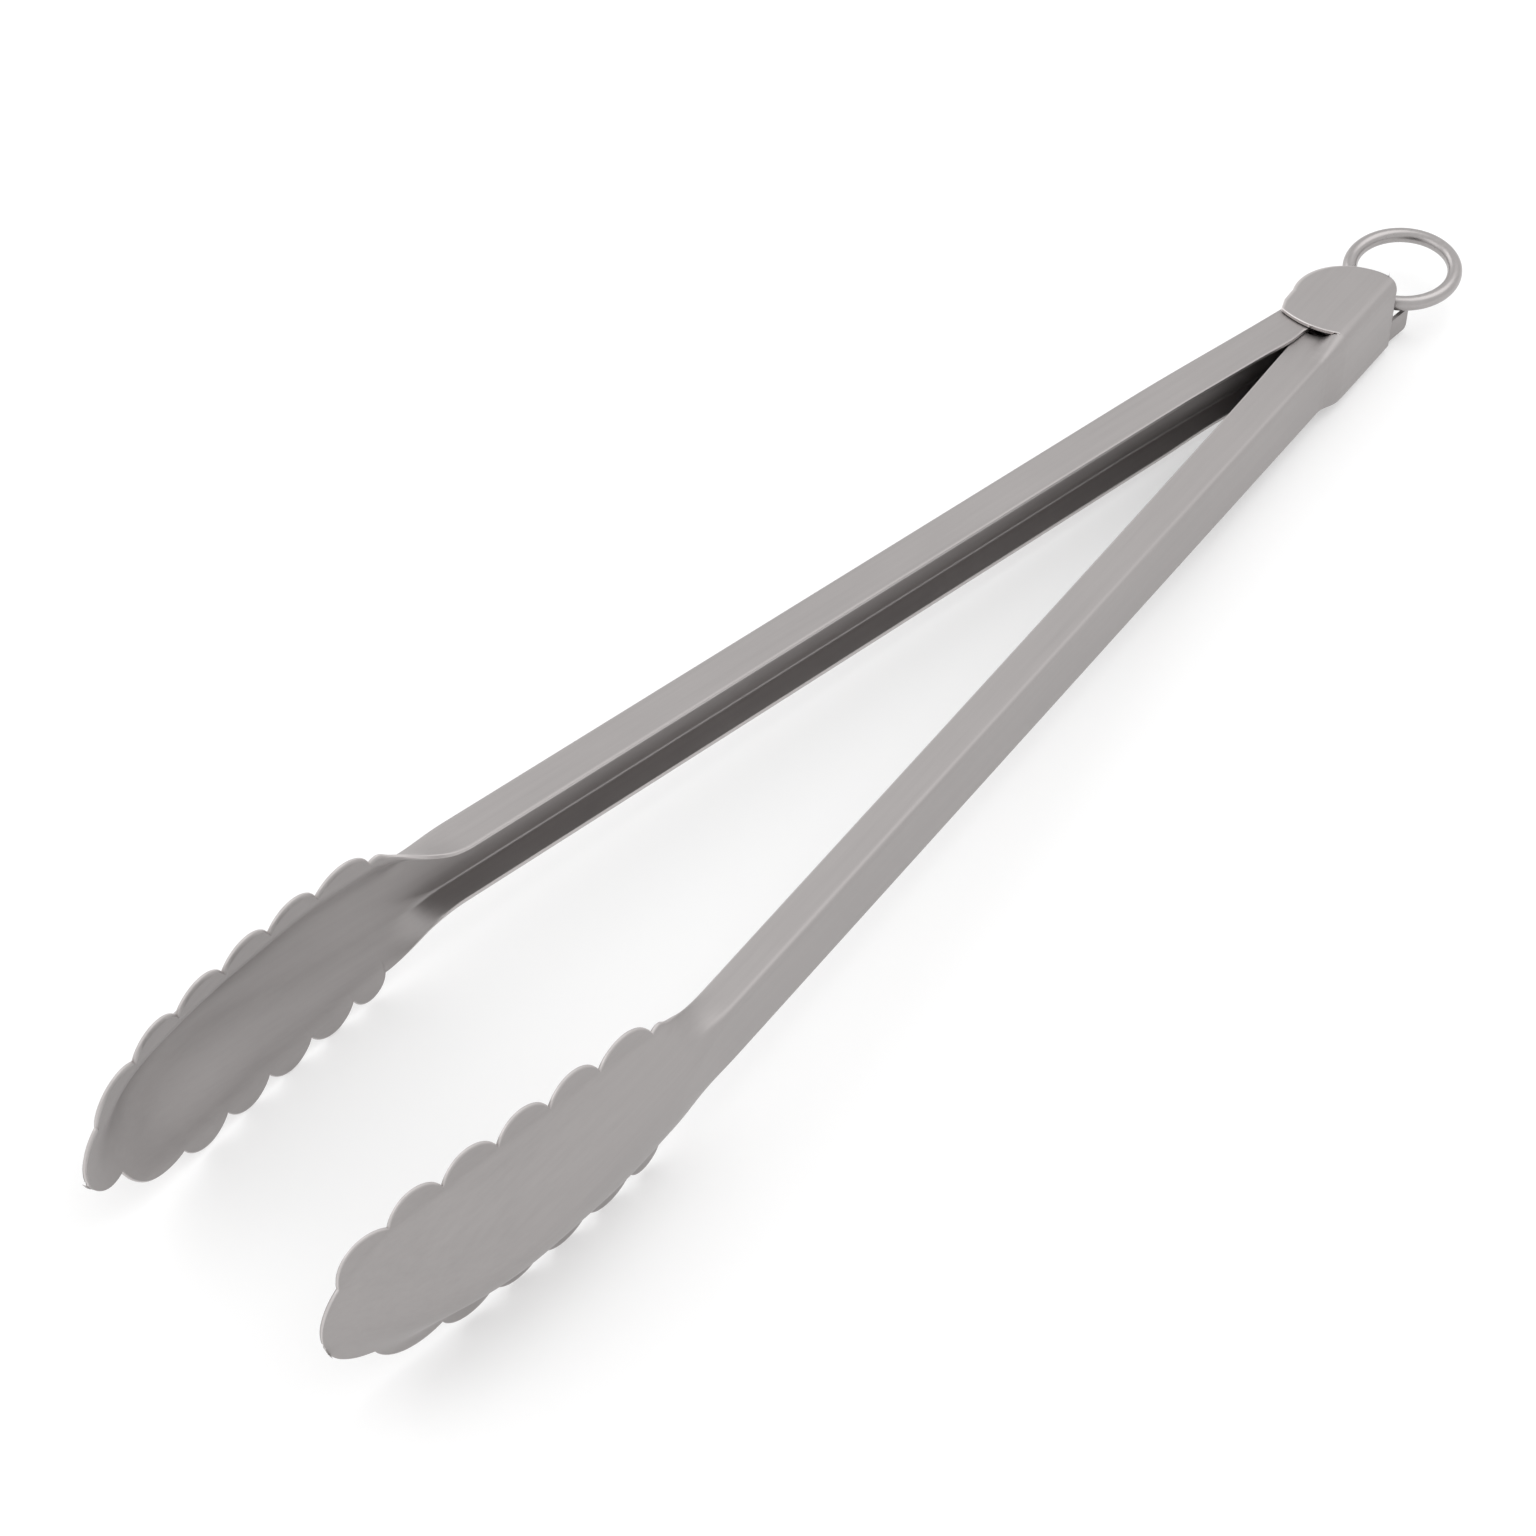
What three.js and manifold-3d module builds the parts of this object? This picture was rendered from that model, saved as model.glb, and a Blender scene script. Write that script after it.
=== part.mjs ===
// Spring loaded kitchen tongs: two pressed channel arms on one hinge pin, a torsion spring that
// opens them, and a lock slide with a pull ring at the hinge end.  Millimetres, +Z up.
// The arms are drawn in their own frame (u along the arm from the hinge axis, v outwards to the
// web, z up) and then turned by half the opening angle, one to each side.
import * as THREE from 'three';
import Module from 'manifold-3d';

const wasm = await Module();
wasm.setup();

// ---- driving dimensions -------------------------------------------------------------------
const SHEET = 1.0;                  // sheet thickness of both arms and the slide
const GAP = 0.3;                    // running gap between pieces that touch in life
const OPEN_HALF_ANGLE = 6.41;       // degrees each arm stands off the middle plane at rest
const PIN_RADIUS = 2.4;
const RUNNING_FIT = 0.08;           // radial clearance of the hinge
const SLEEVE_BORE = PIN_RADIUS + RUNNING_FIT;
const SLEEVE_WALL = 1.3;            // from the pin's surface to the sleeve's
const SLEEVE_RADIUS = PIN_RADIUS + SLEEVE_WALL;
const SPRING_WIRE = 0.8;            // wire radius
const SPRING_COIL = SLEEVE_RADIUS + SPRING_WIRE + 0.5;   // mean coil radius
const SPRING_TURNS = 5;
const INNER_HEIGHT = 18.0;          // channel height of the inner arm
const OUTER_HEIGHT = INNER_HEIGHT - 2 * (SHEET + GAP);   // the outer arm nests inside it
const EAR_HEIGHT = INNER_HEIGHT + 2 * (SHEET + GAP);     // its ears reach over the inner arm
const SPRING_PITCH = INNER_HEIGHT * 0.1083;
const BEND_RADIUS = 0.5 + SHEET;    // outside radius of the channel bends
const EAR_BEND_RADIUS = 1.8 + SHEET;    // outside radius where an ear leaves the web
const BOSS_RADIUS = SLEEVE_RADIUS + 3.4;    // round end of the inner arm's flanges
// hinge axis to outside of the inner arm's web, which runs outside the spring
const INNER_WEB = SPRING_COIL + SPRING_WIRE + SHEET + 1.84;
const OUTER_WEB = INNER_WEB - 0.34; // hinge axis to outside of the outer arm's web
const EAR_WEB = BOSS_RADIUS + SHEET + 1.5;  // the same between the ears, joggled out
const EAR_RADIUS = 2 * BOSS_RADIUS; // radius of the rounded ear
const EAR_CENTRE = [-0.2, EAR_WEB - 5.96];  // its centre
const WEB_REAR = EAR_CENTRE[0] - EAR_RADIUS + 1.6;  // rear edge of the outer arm's web
const SLIDE_TRAVEL = 8.0;           // how far the lock slide pulls back
const SLIT_U = SLEEVE_RADIUS + SLIDE_TRAVEL + 2;    // slit between ear and flange
const FLARE_END = SLIT_U + 8.8;     // end of the flare from ear height to channel height
const HEAD_START = 275.0;           // the channel starts to open into the head here
const RING_RADIUS = 12.65;          // to the wire centre
const RING_WIRE = 1.8;              // wire radius
const RING_PIVOT_X = -19.95;        // where the wire passes the slide's lug
const RING_PIVOT_Z = -1.35;
const RING_Y = -1.0;
const RING_TILT = 7.0;              // degrees the ring's far side stands up at rest

// knots or valleys given by how far they lie beyond the start of the head
const alongHead = (knots) => knots.map(([beyond, size]) => [HEAD_START + beyond, size]);

// ---- scalloped head: half width at the valleys between the lobes, hinge end to tip -------------
const TOP_VALLEYS = alongHead([[24.8, 16.3], [40.1, 18.2], [53.8, 18.9], [67.2, 19.0],
  [80.8, 18.7], [93.7, 17.4], [105.5, 9.9]]);
const LOW_VALLEYS = alongHead([[22.0, 16.4], [31.2, 17.5], [43.7, 18.2], [56.3, 18.5],
  [68.9, 18.5], [82.0, 17.9]]);
// the lower valley beside the tip lobe of each arm
const [OUTER_LAST_LOW, INNER_LAST_LOW] = alongHead([[98.6, 12.4], [98.6, 10.0]]);
const TOP_RISE = 4.3;               // height of a lobe over the line joining its valleys
const LOW_RISE = 3.6;
const TIP_RISE = 7.5;               // length of the tip lobe

const smooth = (x) => {
  const t = Math.min(1, Math.max(0, x));
  return t * t * (3 - 2 * t);
};
const mix = (a, b, t) => a + (b - a) * t;

// a smooth curve through [x, y] knots
function through(knots) {
  return (x) => {
    let i = 0;
    while (i < knots.length - 2 && x > knots[i + 1][0]) i += 1;
    const [p1, p2] = [knots[i], knots[i + 1]];
    const p0 = knots[Math.max(0, i - 1)];
    const p3 = knots[Math.min(knots.length - 1, i + 2)];
    const h = p2[0] - p1[0];
    const m1 = i === 0 ? (p2[1] - p1[1]) / h : (p2[1] - p0[1]) / (p2[0] - p0[0]);
    const last = i === knots.length - 2;
    const m2 = last ? (p2[1] - p1[1]) / h : (p3[1] - p1[1]) / (p3[0] - p1[0]);
    const t = (x - p1[0]) / h;
    const a = 2 * t ** 3 - 3 * t ** 2 + 1;
    const b = t ** 3 - 2 * t ** 2 + t;
    return a * p1[1] + b * h * m1 + (1 - a) * p2[1] + (t ** 3 - t ** 2) * h * m2;
  };
}

// the head is a bowl in a nearly flat scalloped margin: line of the margin, depth and half width
const margin = through(alongHead([[0, 4.4], [24.8, 3.4], [40.1, 1.6], [53.8, -0.4],
  [67.2, -2.8], [80.8, -5.55], [93.7, -8.5], [105.5, -11.4], [113, -13.3]]));
const bowlDepth = through(alongHead([[0, 4.4], [26, 6.0], [40, 7.9], [54, 9.7], [67, 11.0],
  [75, 11.1], [83, 10.3], [91, 8.3], [98, 5.0], [104, 1.9], [109, 0.3], [115, 0]]));
const bowlWidth = through(alongHead([[0, 16.3], [24.8, 16.3], [40, 18.2], [54, 18.7],
  [67, 18.8], [81, 18.3], [94, 17.0], [101, 13.8], [105.5, 11], [115, 8]]));
const MARGIN_SLOPE = 0.12;
const RIM_THINNING = 0.35;          // the deburred edge of the head is this much thinner

function cup(u, z) {
  const q = Math.min(1, Math.abs(z) / bowlWidth(u));
  const beyond = Math.max(0, Math.abs(z) - bowlWidth(u));
  const power = mix(3.0, 2.1, smooth((u - HEAD_START - 23) / 40));
  return margin(u) + bowlDepth(u) * (1 - q ** power) ** 2 - MARGIN_SLOPE * beyond;
}

// one scalloped edge as [u, z] points, an arc from each valley to the next
function scallops(valleys, rise, steps) {
  const points = [];
  for (let i = 0; i < valleys.length - 1; i += 1) {
    const [a, b] = [valleys[i], valleys[i + 1]];
    const half = Math.hypot(b[0] - a[0], b[1] - a[1]) / 2;
    const radius = (half * half + rise * rise) / (2 * rise);
    const spread = Math.asin(Math.min(1, half / radius));
    const along = [(b[0] - a[0]) / (2 * half), (b[1] - a[1]) / (2 * half)];
    for (let k = 0; k < steps; k += 1) {
      const angle = mix(-spread, spread, k / steps);
      const s = radius * Math.sin(angle);
      const h = radius * Math.cos(angle) - (radius - rise);
      points.push([
        (a[0] + b[0]) / 2 + along[0] * s - along[1] * h,
        (a[1] + b[1]) / 2 + along[1] * s + along[0] * h,
      ]);
    }
  }
  return points;
}

// the tip lobe is an arc from one last valley to the other; t runs from its valley to the tip
function tipPoint(lastLow, side, t) {
  const top = TOP_VALLEYS[TOP_VALLEYS.length - 1];
  const low = [lastLow[0], -lastLow[1]];
  const half = Math.hypot(top[0] - low[0], top[1] - low[1]) / 2;
  const radius = (half * half + TIP_RISE * TIP_RISE) / (2 * TIP_RISE);
  const normal = [(top[1] - low[1]) / (2 * half), -(top[0] - low[0]) / (2 * half)];
  const middle = [(top[0] + low[0]) / 2, (top[1] + low[1]) / 2];
  const centre = middle.map((m, i) => m + normal[i] * (TIP_RISE - radius));
  const tip = Math.atan2(normal[1], normal[0]);
  const from = side > 0 ? top : low;
  const start = Math.atan2(from[1] - centre[1], from[0] - centre[0]);
  const angle = mix(start, tip, t);
  return [centre[0] + radius * Math.cos(angle), centre[1] + radius * Math.sin(angle)];
}

// the outside line of one half of a channel section, from the web's middle to the flange edge:
// web, bend, then flange points at the given v positions and heights
const WEB_STEPS = 1;
const BEND_STEPS = 3;
const FLANGE_STEPS = 4;
function halfSection(row, side) {
  const { web, height, bend } = row;
  const h = height / 2;
  const points = [];
  for (let i = 0; i < WEB_STEPS; i += 1) points.push([row.u, web, (h - bend) * i / WEB_STEPS]);
  for (let i = 0; i <= BEND_STEPS; i += 1) {
    const a = (Math.PI / 2) * (i / BEND_STEPS);
    const v = web - bend + bend * Math.cos(a);
    points.push([mix(row.u, row.uBend ?? row.u, i / BEND_STEPS), v, h - bend + bend * Math.sin(a)]);
  }
  const edge = side > 0 ? row.top : row.low;
  const start = web - bend;
  for (let i = 1; i <= FLANGE_STEPS; i += 1) {
    const f = i / FLANGE_STEPS;
    let v = mix(start, edge[1], f);
    if (row.joggle) {
      const stops = [start, OUTER_WEB - 3.1, OUTER_WEB - 4.4, OUTER_WEB - 5.7, edge[1]];
      v = Math.max(stops[i], edge[1]);
    }
    const g = (start - v) / Math.max(0.01, start - edge[1]);
    let u = mix(row.uBend ?? row.u, edge[0], row.joggle ? g * g * (2 - g) : g);
    u += (row.bulge ?? 0) * 4 * g * (1 - g);
    const flat = row.joggle ? smooth((start - v) / (start - OUTER_WEB + 5.7)) : 0;
    points.push([u, v, mix(h, OUTER_HEIGHT / 2, flat)]);
  }
  return points.map(([u, v, z]) => [u, v, side * z]);
}

// one half of a head section, same number of points, from the spine to the scalloped edge;
// power 2 makes the row an arc, as the last rows of the tip are
function halfHead(edge, middle, power = 1) {
  const count = WEB_STEPS + BEND_STEPS + FLANGE_STEPS;
  const points = [];
  for (let i = 0; i <= count; i += 1) {
    const f = i / count;
    const z = edge[1] * f;
    const u = mix(middle, edge[0], f ** power);
    points.push([u, cup(u, z), z]);
  }
  return points;
}

const joinHalves = (top, low) => [...top.slice(1).reverse(), top[0], ...low.slice(1)];

// ---- rows of an arm --------------------------------------------------------------------------
const LOBE_STEPS = 5;
const TIP_STEPS = 5;
const TIP_END = 0.72;               // the last row is the arc over the rest of the tip lobe
const OPENING_STEPS = 7;

function headRows(rowAt, lastLow) {
  const rows = [];
  const top = scallops(TOP_VALLEYS, TOP_RISE, LOBE_STEPS);
  const low = scallops([...LOW_VALLEYS, lastLow], LOW_RISE, LOBE_STEPS).map(([u, z]) => [u, -z]);
  for (let k = 0; k <= TIP_STEPS; k += 1) {
    top.push(tipPoint(lastLow, 1, TIP_END * k / TIP_STEPS));
    low.push(tipPoint(lastLow, -1, TIP_END * k / TIP_STEPS));
  }
  // opening of the channel: its section blends into the first section of the head
  for (let i = 0; i < OPENING_STEPS; i += 1) {
    const t = i / OPENING_STEPS;
    const share = smooth(t) ** 1.3;
    const opened = (side, first) => {
      const u = mix(HEAD_START, first[0], t);
      const bump = side > 0 ? 1.0 * Math.exp(-(((u - HEAD_START - 22.4) / 2.0) ** 2)) : 0;
      const channel = halfSection(rowAt(u), side);
      const head = halfHead([u, first[1] + side * bump], u);
      return channel.map((p, k) => p.map((c, m) => mix(c, head[k][m], share)));
    };
    const upper = opened(1, top[0]);
    const lower = opened(-1, low[0]);
    const bridge = [(upper[0][0] + lower[0][0]) / 2, (upper[0][1] + lower[0][1]) / 2, 0];
    for (const half of [upper, lower]) {
      const own = half[0][0];
      half.forEach((p, k) => {
        p[0] += (bridge[0] - own) * (1 - k / (half.length - 1));
      });
      half[0] = bridge;
    }
    const row = joinHalves(upper, lower);
    row.thinning = RIM_THINNING * share;
    rows.push(row);
  }
  top.forEach((up, i) => {
    const down = low[i];
    const tipShare = Math.max(0, (i - LOBE_STEPS * (TOP_VALLEYS.length - 1)) / TIP_STEPS);
    const foremost = tipPoint(lastLow, 1, 1);
    const middle = mix((up[0] + down[0]) / 2, foremost[0], tipShare ** 2);
    const centre = foremost[1] * tipShare ** 2;
    const power = 1 + tipShare;
    const upper = halfHead([up[0], up[1] - centre], middle, power);
    const lower = halfHead([down[0], down[1] - centre], middle, power);
    for (const p of [...upper, ...lower]) {
      p[2] += centre;
      p[1] = cup(p[0], p[2]);
    }
    const row = joinHalves(upper, lower);
    row.thinning = RIM_THINNING;
    rows.push(row);
  });
  return rows;
}

const innerTopEdge = through([[15, -2.5], [20, -2.95], [30, -2.5], [43, -2.15], [59, -1.78],
  [150, -1.4], [HEAD_START, -1.15]]);
const innerLowEdge = through([[15, -2.5], [22, -0.9], [34, 1.95], [60, 1.9], [HEAD_START, 1.45]]);
const innerWeb = (u) => INNER_WEB - 1.2 * (1 - smooth((u - 6) / 60));

function innerRow(u) {
  return {
    u,
    web: innerWeb(u),
    height: INNER_HEIGHT,
    bend: BEND_RADIUS,
    top: [u, innerTopEdge(u)],
    low: [u, innerLowEdge(u)],
  };
}

function innerRows() {
  const sections = [];
  // round end of the flanges, fanned from the bend line to the boss circle
  const fan = 8;
  for (let i = 0; i <= fan; i += 1) {
    const t = i / fan;
    const angle = THREE.MathUtils.degToRad(mix(179, 300, t));
    const u = mix(-BOSS_RADIUS + 0.15, 6.2, t * t);
    const edge = [BOSS_RADIUS * Math.cos(angle), BOSS_RADIUS * Math.sin(angle)];
    sections.push({ ...innerRow(u), top: edge, low: edge });
  }
  sections.push({ ...innerRow(8.8), top: [7.4, -4.3], low: [7.4, -4.3] });
  sections.push({ ...innerRow(11.8), top: [11.2, -2.9], low: [11.2, -2.9] });
  for (const u of [15, 20, 28, 43, 70, 130, 205]) sections.push(innerRow(u));
  const rows = sections.map((s) => joinHalves(halfSection(s, 1), halfSection(s, -1)));
  return [...rows, ...headRows(innerRow, INNER_LAST_LOW)];
}

const outerTopEdge = through([[19, -1.95], [26, -1.85], [42, -1.46], [62, -1.2], [150, -0.4],
  [HEAD_START, 0.33]]);
const outerLowEdge = through([[19, -1.95], [32, -0.4], [60, 1.7], [HEAD_START, 1.4]]);

function outerRow(u) {
  const share = smooth((u - SLIT_U + 1.7) / (FLARE_END - SLIT_U + 1.7));
  return {
    u,
    web: mix(EAR_WEB, OUTER_WEB, share),
    height: mix(EAR_HEIGHT, OUTER_HEIGHT, share),
    bend: mix(EAR_BEND_RADIUS, BEND_RADIUS, share),
    joggle: u > SLIT_U && u < FLARE_END,
    top: [u, outerTopEdge(u)],
    low: [u, outerLowEdge(u)],
  };
}

function outerRows() {
  const sections = [];
  const ear = (u, uBend, edge, bulge) => ({
    ...outerRow(u), uBend, bulge, joggle: false, top: edge, low: edge,
  });
  const fan = 9;
  const bendLine = EAR_WEB - EAR_BEND_RADIUS - 0.21;
  const first = 180 - THREE.MathUtils.radToDeg(Math.asin((bendLine - EAR_CENTRE[1]) / EAR_RADIUS));
  for (let i = 0; i <= fan; i += 1) {
    const t = i / fan;
    const angle = THREE.MathUtils.degToRad(mix(first, 286, t));
    const edge = [
      EAR_CENTRE[0] + EAR_RADIUS * Math.cos(angle),
      EAR_CENTRE[1] + EAR_RADIUS * Math.sin(angle),
    ];
    const u = mix(WEB_REAR, 6.5, t * t);
    const uBend = mix(EAR_CENTRE[0] - EAR_RADIUS + 0.35, 6.5, t * t);
    sections.push(ear(u, uBend, edge, 0));
  }
  sections.push(ear(SLIT_U - 3.9, SLIT_U - 3.9, [SLIT_U - 5.3, -9.85], 0.8));
  sections.push(ear(SLIT_U - 0.5, SLIT_U - 0.5, [SLIT_U - 1.8, -8.85], 1.6));
  // the slit: no flange at all for a moment
  const slit = sections.length;
  for (const u of [SLIT_U - 0.35, SLIT_U - 0.05]) {
    sections.push(ear(u, u, [u, EAR_WEB - EAR_BEND_RADIUS - 0.25], 0));
  }
  const rear = [[0.1, 0.65, -1.2], [1.2, 1.5, -1.75], [2.9, 3.2, -1.9], [4.9, 5.1, -1.95]];
  for (const [beyond, edgeBeyond, v] of rear) {
    const edge = [SLIT_U + edgeBeyond, v];
    sections.push({ ...outerRow(SLIT_U + beyond), joggle: true, top: edge, low: edge });
  }
  for (const u of [SLIT_U + 6.9, FLARE_END, 30, 45, 75, 130, 205]) sections.push(outerRow(u));
  const rows = sections.map((s) => joinHalves(halfSection(s, 1), halfSection(s, -1)));
  return [
    ...rows.slice(0, slit), ...closing(rows[slit - 1]),
    ...rows.slice(slit, slit + 2),
    ...closing(rows[slit + 2]).reverse(), ...rows.slice(slit + 2),
    ...headRows(outerRow, OUTER_LAST_LOW),
  ];
}

// copies of a row in which ever more flange points meet in one point of the flange's line, so
// that the edge of the sheet runs along that line up to the bend
function closing(row) {
  const middle = (row.length - 1) / 2;
  const copies = [];
  for (let keep = middle - 1; keep >= WEB_STEPS + BEND_STEPS; keep -= 1) {
    copies.push(row.map((_, j) => {
      const off = j - middle;
      return row[middle + Math.sign(off) * Math.min(Math.abs(off), keep)];
    }));
  }
  return copies;
}

// ---- solids ----------------------------------------------------------------------------------
// a sheet of even thickness from a grid of points on its outside face; grid points in one place
// become one vertex
function sheetSolid(rows, thickness) {
  const seen = new Map();
  const outside = [];
  const share = [];
  const ids = rows.map((row) => row.map((p, j) => {
    const key = p.map((c) => Math.round(c * 1e5)).join();
    if (!seen.has(key)) {
      seen.set(key, outside.length);
      outside.push(new THREE.Vector3(...p));
      share.push(1);
    }
    const id = seen.get(key);
    if (j === 0 || j === row.length - 1) share[id] = 1 - (row.thinning ?? 0);
    return id;
  }));
  const normals = outside.map(() => new THREE.Vector3());
  const index = [];
  const offset = outside.length;
  const face = (a, b, c) => {
    if (a !== b && b !== c && c !== a) index.push(a, b, c);
  };
  const quad = (a, b, c, d) => {
    face(a, b, c);
    face(a, c, d);
  };
  const addNormal = (a, b, c) => {
    const ab = outside[b].clone().sub(outside[a]);
    const cross = ab.cross(outside[c].clone().sub(outside[a]));
    const size = cross.length();
    if (size < 1e-9) return;
    for (const [k, next, last] of [[a, b, c], [b, c, a], [c, a, b]]) {
      const e1 = outside[next].clone().sub(outside[k]);
      const e2 = outside[last].clone().sub(outside[k]);
      normals[k].addScaledVector(cross, e1.angleTo(e2) / size);
    }
  };
  const m = ids.length;
  const n = ids[0].length;
  for (let i = 0; i < m - 1; i += 1) {
    for (let j = 0; j < n - 1; j += 1) {
      const [a, b, c, d] = [ids[i][j], ids[i][j + 1], ids[i + 1][j + 1], ids[i + 1][j]];
      addNormal(a, b, c);
      addNormal(a, c, d);
      quad(a, d, c, b);
      quad(offset + a, offset + b, offset + c, offset + d);
    }
    for (const [a, b] of [[ids[i][0], ids[i + 1][0]], [ids[i + 1][n - 1], ids[i][n - 1]]]) {
      quad(a, offset + a, offset + b, b);
    }
  }
  for (let j = 0; j < n - 1; j += 1) {
    quad(ids[0][j], ids[0][j + 1], offset + ids[0][j + 1], offset + ids[0][j]);
    const [a, b] = [ids[m - 1][j], ids[m - 1][j + 1]];
    quad(a, offset + a, offset + b, b);
  }
  const inside = outside.map((p, k) => p.clone()
    .addScaledVector(normals[k].normalize(), thickness * share[k]));
  const geometry = new THREE.BufferGeometry();
  geometry.setAttribute('position', new THREE.Float32BufferAttribute(
    [...outside, ...inside].flatMap((p) => [p.x, p.y, p.z]), 3));
  geometry.setIndex(index);
  return geometry;
}

function toManifold(geometry) {
  const position = geometry.attributes.position;
  const index = geometry.index ? Array.from(geometry.index.array)
    : Array.from({ length: position.count }, (_, i) => i);
  const mesh = new wasm.Mesh({
    numProp: 3,
    vertProperties: new Float32Array(position.array),
    triVerts: new Uint32Array(index),
  });
  mesh.merge();
  return new wasm.Manifold(mesh);
}

function toGeometry(manifold) {
  const mesh = manifold.getMesh();
  const geometry = new THREE.BufferGeometry();
  geometry.setAttribute('position', new THREE.Float32BufferAttribute(mesh.vertProperties, 3));
  geometry.setIndex(Array.from(mesh.triVerts));
  return geometry;
}

const cylinder = (radius, z0, z1, sides = 32) => wasm.Manifold
  .cylinder(z1 - z0, radius, radius, sides).translate([0, 0, z0]);

const box = (x0, x1, y0, y1, z0, z1) => wasm.Manifold
  .cube([x1 - x0, y1 - y0, z1 - z0]).translate([x0, y0, z0]);

// points given in an arm's frame, put into the common frame; side +1 is the outer arm
function placeArm(geometry, side) {
  const angle = THREE.MathUtils.degToRad(OPEN_HALF_ANGLE) * side;
  const position = geometry.attributes.position;
  for (let i = 0; i < position.count; i += 1) {
    const u = position.getX(i);
    const y = position.getY(i) * side;
    position.setX(i, u * Math.cos(angle) - y * Math.sin(angle));
    position.setY(i, u * Math.sin(angle) + y * Math.cos(angle));
  }
  if (side < 0) {
    const index = geometry.index.array;
    for (let i = 0; i < index.length; i += 3) {
      [index[i + 1], index[i + 2]] = [index[i + 2], index[i + 1]];
    }
  }
  return geometry;
}

function outerArm() {
  return placeArm(sheetSolid(outerRows(), SHEET), 1);
}

function innerArm() {
  const body = toManifold(sheetSolid(innerRows(), SHEET));
  const hole = cylinder(SLEEVE_BORE, -INNER_HEIGHT, INNER_HEIGHT);
  return placeArm(toGeometry(body.subtract(hole)), -1);
}

function hingePin() {
  const reach = EAR_HEIGHT / 2 - SHEET - GAP;
  return toGeometry(cylinder(PIN_RADIUS, -reach, reach));
}

const sleeveEnd = INNER_HEIGHT / 2 - SHEET - GAP;
const washerThickness = 0.8;

function pivotSleeve() {
  const top = sleeveEnd - washerThickness - GAP;
  const tube = cylinder(SLEEVE_RADIUS, -sleeveEnd, top)
    .subtract(cylinder(SLEEVE_BORE, -sleeveEnd - 1, top + 1));
  return toGeometry(tube);
}

function springWasher() {
  const disc = cylinder(SPRING_COIL + SPRING_WIRE, sleeveEnd - washerThickness, sleeveEnd)
    .subtract(cylinder(SLEEVE_BORE, 0, INNER_HEIGHT));
  return toGeometry(disc);
}

// coil round the sleeve with a straight leg along each arm
class SpringCurve extends THREE.Curve {
  constructor() {
    super();
    this.lean = THREE.MathUtils.degToRad(8.3);
    this.leg = 22;
    this.sweep = SPRING_TURNS * 2 * Math.PI - Math.PI - 2 * this.lean;
    this.coilLength = this.sweep * SPRING_COIL;
    this.total = this.coilLength + 2 * this.leg;
  }

  getPoint(t) {
    const s = t * this.total - this.leg;
    const height = SPRING_PITCH * (this.sweep / (2 * Math.PI));
    const round = Math.min(this.coilLength, Math.max(0, s));
    const angle = Math.PI / 2 + this.lean + this.sweep * round / this.coilLength;
    const extra = s - round;
    const x = SPRING_COIL * Math.cos(angle) - Math.sin(angle) * extra;
    const y = SPRING_COIL * Math.sin(angle) + Math.cos(angle) * extra;
    return new THREE.Vector3(x, y, height * (round / this.coilLength - 0.5));
  }
}

function torsionSpring() {
  const shape = new THREE.Shape();
  shape.absarc(0, 0, SPRING_WIRE, 0, 2 * Math.PI, false);
  const curve = new SpringCurve();
  return new THREE.ExtrudeGeometry(shape, { extrudePath: curve, steps: 118, curveSegments: 3 });
}

function pullRing() {
  const ring = new THREE.TorusGeometry(RING_RADIUS, RING_WIRE, 10, 44);
  const tilt = THREE.MathUtils.degToRad(RING_TILT);
  ring.rotateY(tilt);
  ring.translate(
    RING_PIVOT_X - RING_RADIUS * Math.cos(tilt),
    RING_Y,
    RING_PIVOT_Z + RING_RADIUS * Math.sin(tilt),
  );
  return ring;
}

// extruded plan outline
function plan(points, z0, z1) {
  return new wasm.CrossSection([points]).extrude(z1 - z0).translate([0, 0, z0]);
}

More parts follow.
